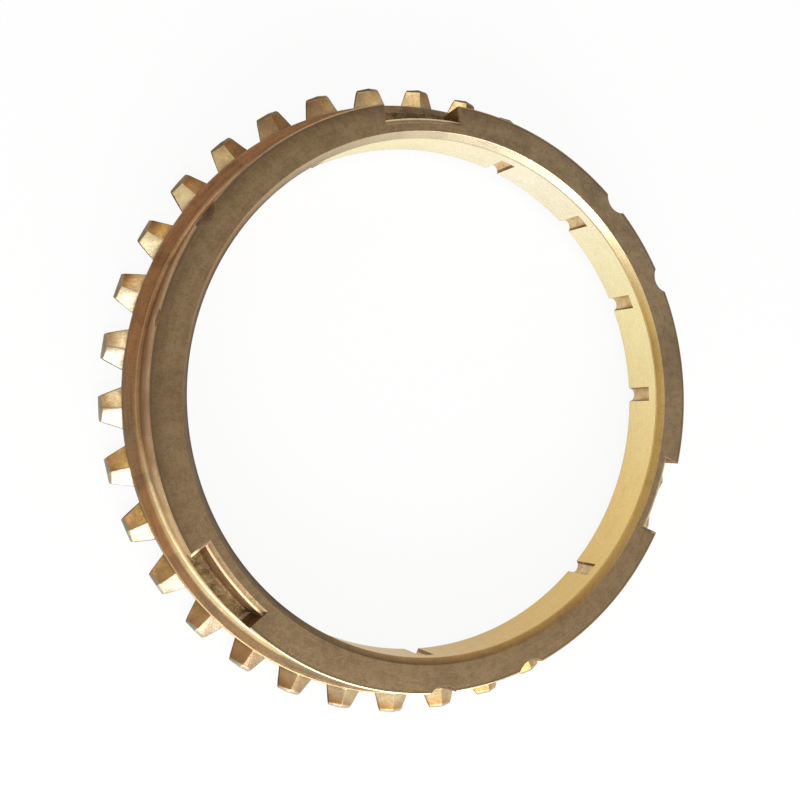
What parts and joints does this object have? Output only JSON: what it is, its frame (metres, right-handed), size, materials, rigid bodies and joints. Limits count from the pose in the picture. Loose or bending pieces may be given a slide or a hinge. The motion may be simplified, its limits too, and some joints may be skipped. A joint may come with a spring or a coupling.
{
  "type": "synchronizer ring",
  "caption": "Brass synchronizer ring with a cone bore, oil grooves, key slots, edge notches and a flange of pointed blocking teeth that lock a gear until its speed matches.",
  "frame": {"origin": "centre of the gear side face, on the ring's axis", "axes": "+Z along the ring's axis from the gear side to the hub side, +Y through the middle of one key slot"},
  "size_m": [0.086, 0.086, 0.0096],
  "materials": {
    "brass": "forged and tarnished, with the bore and the tooth roofs machined bright"
  },
  "bodies": {
    "root": {"ring": "brass"}
  },
  "joints": []
}
